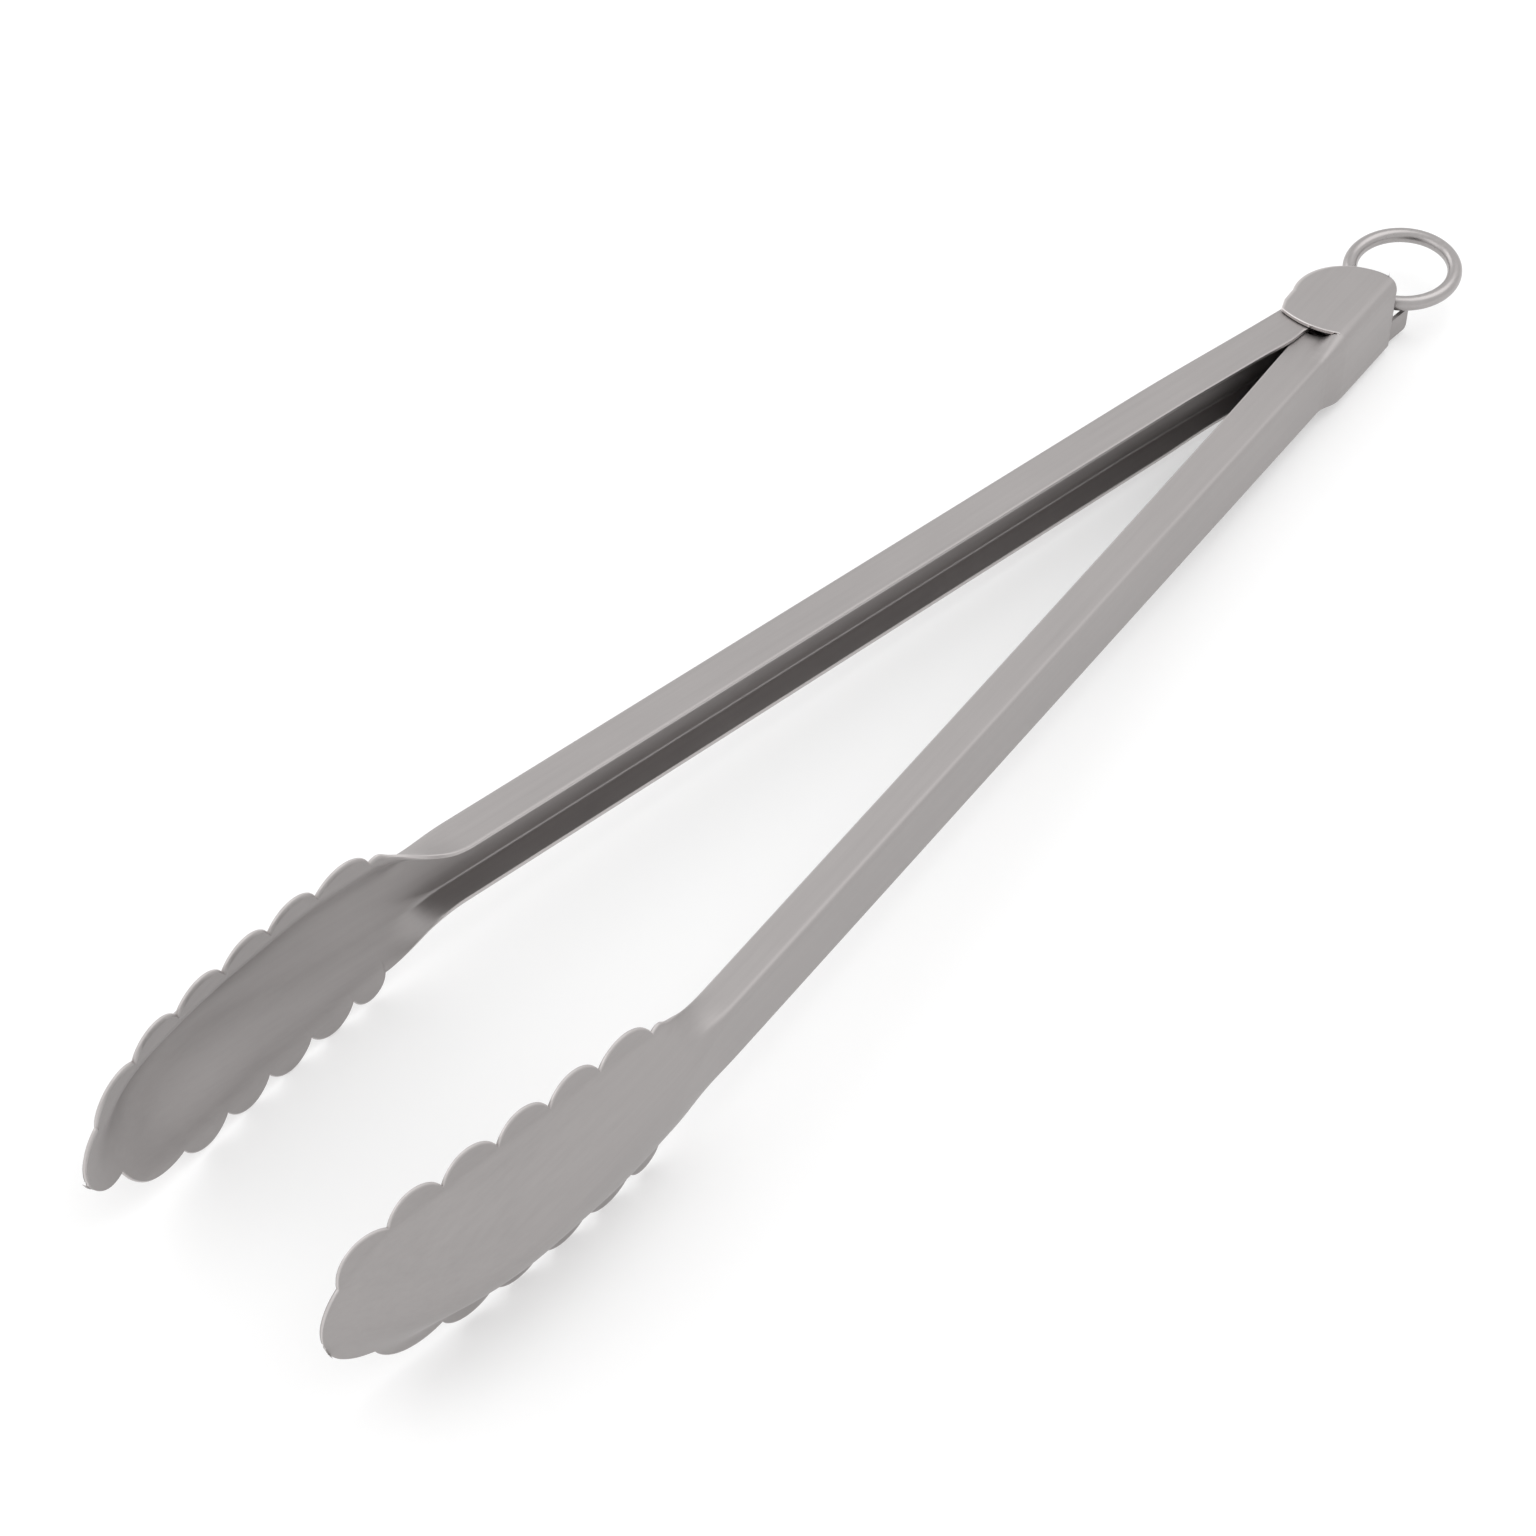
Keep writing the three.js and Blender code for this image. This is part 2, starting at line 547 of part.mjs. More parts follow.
// base leaf slotted round the sleeve, an upright lug that carries the ring, and a side wing that
// runs inside the outer arm's web and drops behind it
function lockSlide() {
  const floor = -sleeveEnd + 0.1;
  const slot = SLEEVE_RADIUS + 0.45;
  const wingOut = EAR_WEB - SHEET - 1.9;
  const leafIn = INNER_WEB - SHEET - 2.44;    // stays off the inner arm's web
  const rear = -24.0;
  const nose = slot + SLIDE_TRAVEL + 1.4;
  const leaf = plan([[-22.6, -2.8], [-13, -leafIn], [nose - 2.5, -leafIn], [nose, -2.5], [nose, 2.5],
    [nose - 2.6, 5.2], [nose - 6, wingOut], [-22.6, wingOut]], floor, floor + SHEET);
  const slotCut = box(0, SLIDE_TRAVEL, -slot, slot, floor - 1, 0)
    .add(cylinder(slot, floor - 1, 0))
    .add(cylinder(slot, floor - 1, 0).translate([SLIDE_TRAVEL, 0, 0]));
  const lug = box(-22.6, -16, RING_Y - SHEET / 2, RING_Y + SHEET / 2, floor, RING_PIVOT_Z);
  const across = (radius, length, y) => wasm.Manifold
    .cylinder(length, radius, radius, 32).rotate([90, 0, 0]).translate([0, y, 0]);
  const eye = across(3.6, SHEET, RING_Y + SHEET / 2).translate([RING_PIVOT_X, 0, RING_PIVOT_Z]);
  const hole = across(RING_WIRE + 0.4, 6, RING_Y + 3).translate([RING_PIVOT_X, 0, RING_PIVOT_Z]);
  const wingTop = RING_PIVOT_Z - RING_WIRE - 0.05;
  const wing = box(rear, -3, wingOut - SHEET, wingOut, floor, wingTop);
  const earRear = EAR_CENTRE[0] - EAR_RADIUS - 0.2;
  const drop = box(rear, earRear, wingOut - SHEET, wingOut, -EAR_HEIGHT / 2 + SHEET + GAP, floor);
  const corner = 1.3;
  const z0 = -EAR_HEIGHT / 2 + SHEET + GAP;
  const round = box(rear - 1, rear + corner, 4, 9, z0 - 1, z0 + corner)
    .subtract(across(corner, 8, 10).translate([rear + corner, 0, z0 + corner]));
  return toGeometry(leaf.subtract(slotCut).add(lug).add(eye).subtract(hole)
    .add(wing).add(drop).subtract(round));
}

// ---- assembly --------------------------------------------------------------------------------
const materials = {
  steel: new THREE.MeshStandardMaterial({ color: 0xa8a29e, metalness: 1, roughness: 0.42 }),
  bright: new THREE.MeshStandardMaterial({ color: 0xc4c0bc, metalness: 1, roughness: 0.25 }),
  spring: new THREE.MeshStandardMaterial({ color: 0x8d8986, metalness: 1, roughness: 0.35 }),
};

const tongs = new THREE.Group();
tongs.name = 'kitchen_tongs';
const pieces = [
  ['outer_arm', outerArm(), materials.steel],
  ['inner_arm', innerArm(), materials.steel],
  ['hinge_pin', hingePin(), materials.bright],
  ['pivot_sleeve', pivotSleeve(), materials.bright],
  ['spring_washer', springWasher(), materials.bright],
  ['torsion_spring', torsionSpring(), materials.spring],
  ['lock_slide', lockSlide(), materials.steel],
  ['pull_ring', pullRing(), materials.bright],
];
for (const [name, geometry, material] of pieces) {
  const mesh = new THREE.Mesh(geometry, material);
  mesh.name = name;
  tongs.add(mesh);
}

// origin at the middle of the footprint, on the lowest point
const bounds = new THREE.Box3().setFromObject(tongs);
const centre = bounds.getCenter(new THREE.Vector3());
for (const mesh of tongs.children) mesh.geometry.translate(-centre.x, -centre.y, -bounds.min.z);

export default tongs;
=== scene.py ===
"""Spring loaded kitchen tongs: finished surfaces, brushed steel and a plain pale stage.

The two arms are pressed sheets drawn in their own frame: u runs along the arm from the hinge
axis, v outwards to the web and z up.  Every surface is worked out as whole numpy arrays.
"""
import math

import bpy
import numpy as np
from mathutils import Matrix, Vector


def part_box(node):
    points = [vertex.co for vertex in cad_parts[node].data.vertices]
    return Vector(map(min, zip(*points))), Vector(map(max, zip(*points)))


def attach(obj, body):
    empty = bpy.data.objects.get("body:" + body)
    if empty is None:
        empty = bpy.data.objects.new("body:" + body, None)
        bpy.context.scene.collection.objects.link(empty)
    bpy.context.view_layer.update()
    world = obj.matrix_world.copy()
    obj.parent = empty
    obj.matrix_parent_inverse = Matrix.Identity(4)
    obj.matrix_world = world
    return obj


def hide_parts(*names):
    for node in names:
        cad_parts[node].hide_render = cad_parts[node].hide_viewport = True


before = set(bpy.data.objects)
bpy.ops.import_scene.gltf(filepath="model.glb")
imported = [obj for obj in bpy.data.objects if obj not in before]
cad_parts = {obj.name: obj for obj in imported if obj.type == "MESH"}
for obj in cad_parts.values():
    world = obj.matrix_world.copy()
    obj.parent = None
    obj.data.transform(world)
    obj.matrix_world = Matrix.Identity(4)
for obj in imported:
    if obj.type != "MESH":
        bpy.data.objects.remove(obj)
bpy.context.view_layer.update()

bl_info = {
    "name": "Kitchen tongs",
    "version": (1, 0, 0),
    "blender": (4, 5, 0),
    "location": "View3D > Sidebar > Tongs",
    "description": "Builds the finished surfaces of a pair of locking kitchen tongs",
    "category": "Object",
}

PIN_BOX = [np.array(corner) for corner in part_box("hinge_pin")]
PIN = (PIN_BOX[0] + PIN_BOX[1]) / 2
MM = 0.001

# ---- sizes of the pressed arms, in millimetres ------------------------------------------------
SHEET = 1.0
INNER_HEIGHT = 18.0
OUTER_HEIGHT = 15.4
EAR_HEIGHT = 20.6
BEND_RADIUS = 1.5
EAR_BEND_RADIUS = 2.8
INNER_WEB = 8.64
OUTER_WEB = 8.3
EAR_WEB = 9.6
WEB_REAR = -12.8
EAR_CENTRE = (-0.2, 3.64)
EAR_RADIUS = 14.2
SLIT_U = 13.7
FLARE_END = 22.5
BOSS_RADIUS = 7.1
HEAD_START = 275.0
TOP_VALLEYS = ((299.8, 16.3), (315.1, 18.2), (328.8, 18.9), (342.2, 19.0), (355.8, 18.7),
               (368.7, 17.4), (380.5, 9.9))
LOW_VALLEYS = ((297.0, 16.4), (306.2, 17.5), (318.7, 18.2), (331.3, 18.5), (343.9, 18.5),
               (357.0, 17.9))
OUTER_LAST_LOW = (373.6, 12.4)
INNER_LAST_LOW = (373.6, 10.0)
TOP_RISE = 4.3
LOW_RISE = 3.6
TIP_RISE = 7.5
TIP_END = 0.94
MARGIN_SLOPE = 0.12
RIM_THINNING = 0.35


# ---- curves -----------------------------------------------------------------------------------
def mix(a, b, t):
    """a at t = 0, b at t = 1, straight between them."""
    return a + (b - a) * t


def smooth(x):
    """0 below 0, 1 above 1, and 3t squared minus 2t cubed between."""
    t = np.clip(x, 0.0, 1.0)
    return t * t * (3 - 2 * t)


def through(*knots):
    """A smooth curve through (x, y) knots: a cubic between each two knots, whose slope at a knot
    is that of the line joining its neighbours."""
    x, y = np.array(knots, float).T
    slope = np.empty_like(y)
    slope[1:-1] = (y[2:] - y[:-2]) / (x[2:] - x[:-2])
    slope[0] = (y[1] - y[0]) / (x[1] - x[0])
    slope[-1] = (y[-1] - y[-2]) / (x[-1] - x[-2])

    def curve(q):
        q = np.asarray(q, float)
        i = np.clip(np.searchsorted(x, q) - 1, 0, len(x) - 2)
        h = x[i + 1] - x[i]
        t = (q - x[i]) / h
        a = 2 * t ** 3 - 3 * t ** 2 + 1
        b = t ** 3 - 2 * t ** 2 + t
        c = t ** 3 - t ** 2
        return a * y[i] + b * h * slope[i] + (1 - a) * y[i + 1] + c * h * slope[i + 1]

    return curve


margin = through((HEAD_START, 4.4), (299.8, 3.4), (315.1, 1.6), (328.8, -0.4), (342.2, -2.8),
                 (355.8, -5.55), (368.7, -8.5), (380.5, -11.4), (388, -13.3))
bowl_depth = through((HEAD_START, 4.4), (301, 6.0), (315, 7.9), (329, 9.7), (342, 11.0),
                     (350, 11.1), (358, 10.3), (366, 8.3), (373, 5.0), (379, 1.9), (384, 0.3),
                     (390, 0))
bowl_width = through((HEAD_START, 16.3), (299.8, 16.3), (315, 18.2), (329, 18.7), (342, 18.8),
                     (356, 18.3), (369, 17.0), (376, 13.8), (380.5, 11), (390, 8))
inner_top_edge = through((15, -2.5), (20, -2.95), (30, -2.5), (43, -2.15), (59, -1.78),
                         (150, -1.4), (HEAD_START, -1.15))
inner_low_edge = through((15, -2.5), (22, -0.9), (34, 1.95), (60, 1.9), (HEAD_START, 1.45))
outer_top_edge = through((19, -1.95), (26, -1.85), (42, -1.46), (62, -1.2), (150, -0.4),
                         (HEAD_START, 0.33))
outer_low_edge = through((19, -1.95), (32, -0.4), (60, 1.7), (HEAD_START, 1.4))


def cup(u, z):
    """Height v of the head: the margin's line, plus a bowl that falls from its full depth on the
    middle line to nothing at its half width, minus a slight slope beyond it."""
    width = bowl_width(u)
    q = np.minimum(1.0, np.abs(z) / width)
    beyond = np.maximum(0.0, np.abs(z) - width)
    power = mix(3.0, 2.1, smooth((u - 298) / 40))
    return margin(u) + bowl_depth(u) * (1 - q ** power) ** 2 - MARGIN_SLOPE * beyond


def scallops(valleys, rise, steps):
    """An edge of lobes as (u, z) points: between each two valleys an arc of a circle that stands
    `rise` above their joining line."""
    a = np.array(valleys[:-1], float)[:, None, :]
    b = np.array(valleys[1:], float)[:, None, :]
    half = np.linalg.norm(b - a, axis=2) / 2
    radius = (half ** 2 + rise ** 2) / (2 * rise)
    spread = np.arcsin(np.minimum(1.0, half / radius))
    along = (b - a) / (2 * half)[..., None]
    angle = mix(-spread, spread, np.arange(steps) / steps)
    s = radius * np.sin(angle)
    h = radius * np.cos(angle) - (radius - rise)
    across = np.stack([-along[..., 1], along[..., 0]], axis=2)
    points = (a + b) / 2 + along * s[..., None] + across * h[..., None]
    return points.reshape(-1, 2)


def tip_points(last_low, side, t):
    """Points of the tip lobe, an arc from one last valley to the other; t = 0 at the valley of
    the given side and 1 at the foremost point."""
    top = np.array(TOP_VALLEYS[-1])
    low = np.array((last_low[0], -last_low[1]))
    half = np.linalg.norm(top - low) / 2
    radius = (half ** 2 + TIP_RISE ** 2) / (2 * TIP_RISE)
    normal = np.array((top[1] - low[1], low[0] - top[0])) / (2 * half)
    centre = (top + low) / 2 + normal * (TIP_RISE - radius)
    tip = math.atan2(normal[1], normal[0])
    first = (top if side > 0 else low) - centre
    angle = mix(math.atan2(first[1], first[0]), tip, t)
    return np.stack([centre[0] + radius * np.cos(angle), centre[1] + radius * np.sin(angle)], 1)


# ---- columns of an arm's grid: place along a half section, 0 on the middle line, 8 at the edge
WEB_COLUMNS = np.arange(5) / 5
BEND_COLUMNS = 1 + 3 * np.arange(9) / 8
FLANGE_COLUMNS = 4 + 4 * np.arange(1, 17) / 16
COLUMNS = np.concatenate([WEB_COLUMNS, BEND_COLUMNS, FLANGE_COLUMNS])


def half_section(row, side):
    """One half of each row's channel section as (rows, columns, 3): a flat web, a quarter circle,
    then a flange whose height eases from the bend's to the channel's where it is joggled."""
    col = {k: np.asarray(v, float)[:, None] for k, v in row.items()}
    h = col["height"] / 2
    bend = col["bend"]
    one = np.ones_like(col["u"])
    web = [one * col["u"], one * col["web"], (h - bend) * WEB_COLUMNS]
    a = (BEND_COLUMNS - 1) / 3
    turn = [mix(col["u"], col["u_bend"], a), col["web"] - bend + bend * np.cos(a * np.pi / 2),
            h - bend + bend * np.sin(a * np.pi / 2)]
    f = (FLANGE_COLUMNS - 4) / 4
    edge_u, edge_v = (col["top_u"], col["top_v"]) if side > 0 else (col["low_u"], col["low_v"])
    start = col["web"] - bend
    plain = mix(start, edge_v, f)
    stops = np.concatenate([start, one * 5.2, one * 3.9, one * 2.6, edge_v], axis=1)
    k = np.minimum(3, (f * 4).astype(int))
    share = f * 4 - k
    stepped = np.maximum(stops[:, k] * (1 - share) + stops[:, k + 1] * share, edge_v)
    v = mix(plain, stepped, col["joggle"])
    g = (start - v) / np.maximum(0.01, start - edge_v)
    reach = mix(g, g * g * (2 - g), col["joggle"])
    u = mix(col["u_bend"], edge_u, reach) + col["bulge"] * 4 * g * (1 - g)
    flat = col["joggle"] * smooth((start - v) / (start - 2.6))
    flange = [u, v, mix(h, OUTER_HEIGHT / 2, flat)]
    grid = np.stack([np.concatenate([w * np.ones_like(WEB_COLUMNS) * one,
                                     t * np.ones_like(a) * one,
                                     e * np.ones_like(f) * one], axis=1)
                     for w, t, e in zip(web, turn, flange)], axis=2)
    grid[..., 2] *= side
    return grid


def half_head(edge_u, edge_z, middle, power):
    """One half of each row of the head: straight or arched across from the spine to the edge,
    lying on the cup surface."""
    f = COLUMNS / 8
    z = edge_z[:, None] * f
    u = mix(middle[:, None], edge_u[:, None], f ** power[:, None])
    return np.stack([u, cup(u, z), z], axis=2)


def join_halves(top, low):
    """A whole row: the upper edge first, the middle line, then the lower edge."""
    return np.concatenate([top[:, :0:-1], top[:, :1], low[:, 1:]], axis=1)


def plain_rows(u, web, height, bend, top_v, low_v):
    """Rows of the straight channel at stations u."""
    u = np.asarray(u, float)
    full = np.ones_like(u)
    return {"u": u, "u_bend": u, "web": full * web, "height": full * height, "bend": full * bend,
            "joggle": 0 * u, "bulge": 0 * u, "top_u": u, "top_v": full * top_v, "low_u": u,
            "low_v": full * low_v}


def inner_rows(u):
    web = INNER_WEB - 1.2 * (1 - smooth((np.asarray(u) - 6) / 60))
    return plain_rows(u, web, INNER_HEIGHT, BEND_RADIUS, inner_top_edge(u), inner_low_edge(u))


def outer_rows(u):
    share = smooth((np.asarray(u) - 12) / (FLARE_END - 12))
    return plain_rows(u, mix(EAR_WEB, OUTER_WEB, share), mix(EAR_HEIGHT, OUTER_HEIGHT, share),
                      mix(EAR_BEND_RADIUS, BEND_RADIUS, share), outer_top_edge(u),
                      outer_low_edge(u))


def stacked(*parts):
    """Several sets of rows one after another."""
    return {k: np.concatenate([p[k] for p in parts]) for k in parts[0]}


def refined(rows, steps):
    """The same rows with `steps` straight steps between each two."""
    count = len(rows["u"])
    fine = np.linspace(0, count - 1, (count - 1) * steps + 1)
    return {k: np.interp(fine, np.arange(count), v) for k, v in rows.items()}


def with_edge(rows, edge_u, edge_v, u_bend=None, bulge=0.0, joggle=0.0):
    """Rows whose two flange edges stand at the given points."""
    full = np.ones_like(rows["u"])
    rows = dict(rows, top_u=full * edge_u, top_v=full * edge_v, low_u=full * edge_u,
                low_v=full * edge_v, bulge=full * bulge, joggle=full * joggle)
    if u_bend is not None:
        rows["u_bend"] = full * u_bend
    return rows


def head_grid(rows_at, last_low, lobe_steps=20, tip_steps=48, opening_steps=40):
    """The opening of the channel and the whole head as (rows, columns, 3).  The opening blends
    the channel's section into the head's first one; each head row joins a point of the upper
    edge to one of the lower edge across the cup."""
    top = scallops(TOP_VALLEYS, TOP_RISE, lobe_steps)
    low = scallops((*LOW_VALLEYS, last_low), LOW_RISE, lobe_steps) * (1, -1)
    t = TIP_END * np.linspace(0, 1, tip_steps + 1)
    top = np.concatenate([top, tip_points(last_low, 1, t)])
    low = np.concatenate([low, tip_points(last_low, -1, t)])
    t = np.arange(opening_steps) / opening_steps
    share = (smooth(t) ** 1.3)[:, None, None]
    halves = []
    for side, first in ((1, top[0]), (-1, low[0])):
        u = mix(HEAD_START, first[0], t)
        bump = np.exp(-(((u - 297.4) / 2.0) ** 2)) if side > 0 else 0 * u
        channel = half_section(rows_at(u), side)
        halves.append(mix(channel, half_head(u, first[1] + bump, u, np.ones_like(u)), share))
    bridge = (halves[0][:, :1] + halves[1][:, :1]) / 2
    for half in halves:
        half[..., 0] += (bridge - half[:, :1])[..., 0] * (1 - COLUMNS / 8)
        half[:, 0] = bridge[:, 0]
    opening = join_halves(*halves)
    whole = np.arange(len(top))
    tip_share = np.maximum(0, (whole - lobe_steps * (len(TOP_VALLEYS) - 1)) / tip_steps)
    foremost = tip_points(last_low, 1, np.ones(1))[0]
    middle = mix((top[:, 0] + low[:, 0]) / 2, foremost[0], tip_share ** 2)
    centre = foremost[1] * tip_share ** 2
    halves = []
    for edge in (top, low):
        half = half_head(edge[:, 0], edge[:, 1] - centre, middle, 1 + tip_share)
        half[..., 2] += centre[:, None]
        half[..., 1] = cup(half[..., 0], half[..., 2])
        halves.append(half)
    return np.concatenate([opening, join_halves(*halves)])


def channel_grid(rows):
    return join_halves(half_section(rows, 1), half_section(rows, -1))


def inner_arm_grid():
    """The inner arm's outside face: flanges with round ends, the channel and the head."""
    t = np.linspace(0, 1, 60)
    angle = np.radians(mix(179, 300, t))
    u = mix(-BOSS_RADIUS + 0.15, 6.2, t * t)
    boss = with_edge(inner_rows(u), BOSS_RADIUS * np.cos(angle), BOSS_RADIUS * np.sin(angle))
    neck = stacked(
        with_edge(inner_rows([6.2]), BOSS_RADIUS * math.cos(math.radians(300)),
                  BOSS_RADIUS * math.sin(math.radians(300))),
        with_edge(inner_rows([8.8]), 7.4, -4.3),
        with_edge(inner_rows([11.8]), 11.2, -2.9),
        inner_rows([15.0]))
    neck = {k: v[1:] for k, v in refined(neck, 6).items()}
    run = inner_rows(np.concatenate([np.linspace(15.6, 70, 60), np.linspace(74, 274, 60)]))
    return np.concatenate([channel_grid(stacked(boss, neck, run)),
                           head_grid(inner_rows, INNER_LAST_LOW)])


def outer_arm_grid():
    """The outer arm's outside face: rounded ears, the slit, the flare, the channel, the head.
    At the slit the columns close up along the ear's front line until no flange is left."""
    t = np.linspace(0, 1, 80)
    angle = np.radians(mix(168, 286, t))
    ear = with_edge(outer_rows(mix(WEB_REAR, 6.5, t * t)),
                    EAR_CENTRE[0] + EAR_RADIUS * np.cos(angle),
                    EAR_CENTRE[1] + EAR_RADIUS * np.sin(angle),
                    mix(EAR_CENTRE[0] - EAR_RADIUS + 0.35, 6.5, t * t))
    last = {k: v[-1:] for k, v in ear.items()}
    front = stacked(last, with_edge(outer_rows([9.8]), 8.4, -9.85, 9.8, 0.8),
                    with_edge(outer_rows([SLIT_U - 0.5]), 11.9, -8.85, SLIT_U - 0.5, 1.6))
    front = {k: v[1:] for k, v in refined(front, 14).items()}
    before = channel_grid(stacked(ear, front))
    slit = channel_grid(with_edge(outer_rows([SLIT_U - 0.35, SLIT_U - 0.05]), SLIT_U - 0.2,
                                  EAR_WEB - EAR_BEND_RADIUS - 0.25, SLIT_U - 0.2))
    rear = stacked(*[with_edge(outer_rows([u]), edge_u, edge_v, u, 0.0, 1.0)
                     for u, edge_u, edge_v in ((SLIT_U + 0.1, 14.35, -1.2),
                                               (SLIT_U + 1.2, 15.2, -1.75),
                                               (16.6, 16.9, -1.9), (18.6, 18.8, -1.95),
                                               (20.6, 20.6, outer_top_edge(20.6)),
                                               (FLARE_END, FLARE_END, outer_top_edge(FLARE_END)))])
    rear["low_v"][-2:] = outer_low_edge(rear["u"][-2:])
    after = channel_grid(refined(rear, 8))
    run = outer_rows(np.concatenate([np.linspace(23.5, 75, 56), np.linspace(79, 274, 60)]))
    return np.concatenate([before, closing(before[-1]), slit, closing(after[0])[::-1], after,
                           channel_grid(run), head_grid(outer_rows, OUTER_LAST_LOW)])


def closing(row):
    """Copies of one row in which ever more of each flange's columns meet in one point of the
    flange's line, so that the sheet's edge runs along that line up to the bend."""
    middle = len(COLUMNS) - 1
    first = len(WEB_COLUMNS) + len(BEND_COLUMNS) - 1
    keep = np.arange(middle - 1, first - 1, -1)[:, None]
    place = np.arange(2 * middle + 1)[None, :] - middle
    column = middle + np.sign(place) * np.minimum(np.abs(place), keep)
    return row[column]


# ---- meshes -----------------------------------------------------------------------------------
def add_mesh(name, points, faces, rim=None, sharp=35.0):
    """A new object from point and face arrays, smooth but for edges above `sharp` degrees."""
    mesh = bpy.data.meshes.new(name)
    mesh.from_pydata(np.asarray(points).tolist(), [], np.asarray(faces).tolist())
    if rim is not None:
        layer = mesh.attributes.new("rim", "FLOAT", "POINT")
        layer.data.foreach_set("value", np.asarray(rim, np.float32))
    mesh.validate()
    mesh.polygons.foreach_set("use_smooth", np.ones(len(mesh.polygons), bool))
    mesh.set_sharp_from_angle(angle=math.radians(sharp))
    piece = bpy.data.objects.new(name, mesh)
    bpy.context.scene.collection.objects.link(piece)
    return piece


def unit(vectors):
    return vectors / np.maximum(np.linalg.norm(vectors, axis=-1, keepdims=True), 1e-12)


def sheet_mesh(grid, thickness, thinning, chamfer):
    """A sheet from a grid of its outside face: the inside face lies `thickness` further along the
    vertex normals, and the cut edge between them has a small chamfer on both sides."""
    m, n = grid.shape[:2]
    flat = grid.reshape(-1, 3)
    keys, first, welded = np.unique(np.round(flat, 5), axis=0, return_index=True,
                                    return_inverse=True)
    welded = welded.reshape(m, n)
    points = flat[first]
    a, b, c, d = welded[:-1, :-1], welded[:-1, 1:], welded[1:, 1:], welded[1:, :-1]
    faces = np.concatenate([np.stack([a, b, c], 2).reshape(-1, 3),
                            np.stack([a, c, d], 2).reshape(-1, 3)])
    whole = (faces[:, 0] != faces[:, 1]) & (faces[:, 1] != faces[:, 2]) & (faces[:, 2] != faces[:, 0])
    faces = faces[whole]
    cross = np.cross(points[faces[:, 1]] - points[faces[:, 0]],
                     points[faces[:, 2]] - points[faces[:, 0]])
    faces = faces[np.linalg.norm(cross, axis=1) > 1e-7]
    cross = cross[np.linalg.norm(cross, axis=1) > 1e-7]
    normal = np.zeros_like(points)
    for k in range(3):
        np.add.at(normal, faces[:, k], cross)
    normal = unit(normal)
    loop = np.concatenate([welded[:, 0], welded[-1, 1:], welded[-2::-1, -1], welded[0, -2:0:-1]])
    loop = loop[loop != np.roll(loop, 1)]
    after, before = points[np.roll(loop, -1)], points[np.roll(loop, 1)]
    outward = unit(np.cross(unit(after - before), normal[loop]))
    middle = points[faces].mean(axis=1)
    probe = points[loop[len(loop) // 3]]
    nearest = middle[np.argmin(np.linalg.norm(middle - probe, axis=1))]
    outward *= -np.sign(np.dot(nearest - probe, outward[len(loop) // 3]))
    local = np.full(len(points), thickness)
    local[loop] = thickness * (1 - thinning[first[loop] // n])
    shifted = points.copy()
    shifted[loop] -= outward * chamfer
    inside = shifted + normal * local[:, None]
    edge = points[loop]
    deep = edge + normal[loop] * local[loop][:, None]
    rings = [edge + normal[loop] * chamfer, deep - normal[loop] * chamfer]
    count, size = len(points), len(loop)
    stack = np.concatenate([shifted, inside, *rings])
    steps = [loop, 2 * count + np.arange(size), 2 * count + size + np.arange(size), loop + count]
    walls = []
    for one, two in zip(steps[:-1], steps[1:]):
        walls.append(np.stack([one, two, np.roll(two, -1)], 1))
        walls.append(np.stack([one, np.roll(two, -1), np.roll(one, -1)], 1))
    faces = np.concatenate([faces[:, ::-1], faces + count, *walls])
    # rim: strength of the painted highlight on the cut edge, 1 on the chamfer rings and 0.6 on the
    # edge points of both faces.
    rim = np.zeros(len(stack))
    rim[2 * count:] = 1
    rim[loop] = rim[loop + count] = 0.6
    return stack, faces, rim


def volume(points, faces):
    """Six times the signed volume inside a closed mesh."""
    a, b, c = (points[faces[:, k]] for k in range(3))
    return np.einsum("ij,ij->", a, np.cross(b, c))


def placed_arm(points, half_angle, side):
    """Points of an arm's own frame turned by half the opening angle about the hinge pin."""
    angle = half_angle * side
    u, y, z = points[:, 0], points[:, 1] * side, points[:, 2]
    turned = np.stack([u * math.cos(angle) - y * math.sin(angle),
                       u * math.sin(angle) + y * math.cos(angle), z], 1)
    return turned * MM + PIN


def build_arm(name, grid, side, sizes):
    rows, columns = grid.shape[:2]
    head = grid[:, columns // 2, 0]
    share = smooth((head - HEAD_START) / 25.0) ** 1.3
    points, faces, rim = sheet_mesh(grid, sizes.sheet / MM, RIM_THINNING * share,
                                    sizes.chamfer / MM)
    # Painted highlight on the cut edge: full strength round the ears up to the slit, 0.4 of it along
    # the rest of the arm.
    ear_rim_highlight = 1 - smooth((points[:, 0] - SLIT_U - 1.0) / 3.0)
    rim *= mix(0.4, 1.0, ear_rim_highlight)
    points = placed_arm(points, sizes.half_angle, side)
    if volume(points, faces) < 0:
        faces = faces[:, ::-1]
    return add_mesh(name, points, faces, rim)


def revolve(name, profile, steps=96):
    """A closed ring of (radius, z) points, in millimetres, carried once round the hinge pin."""
    profile = np.array(profile, float)
    turn = np.linspace(0, 2 * np.pi, steps, endpoint=False)[:, None]
    radius, z = profile[:, 0][None], profile[:, 1][None]
    grid = np.stack([radius * np.cos(turn), radius * np.sin(turn), z + 0 * turn], 2)
    return closed_grid(name, grid * MM + PIN)


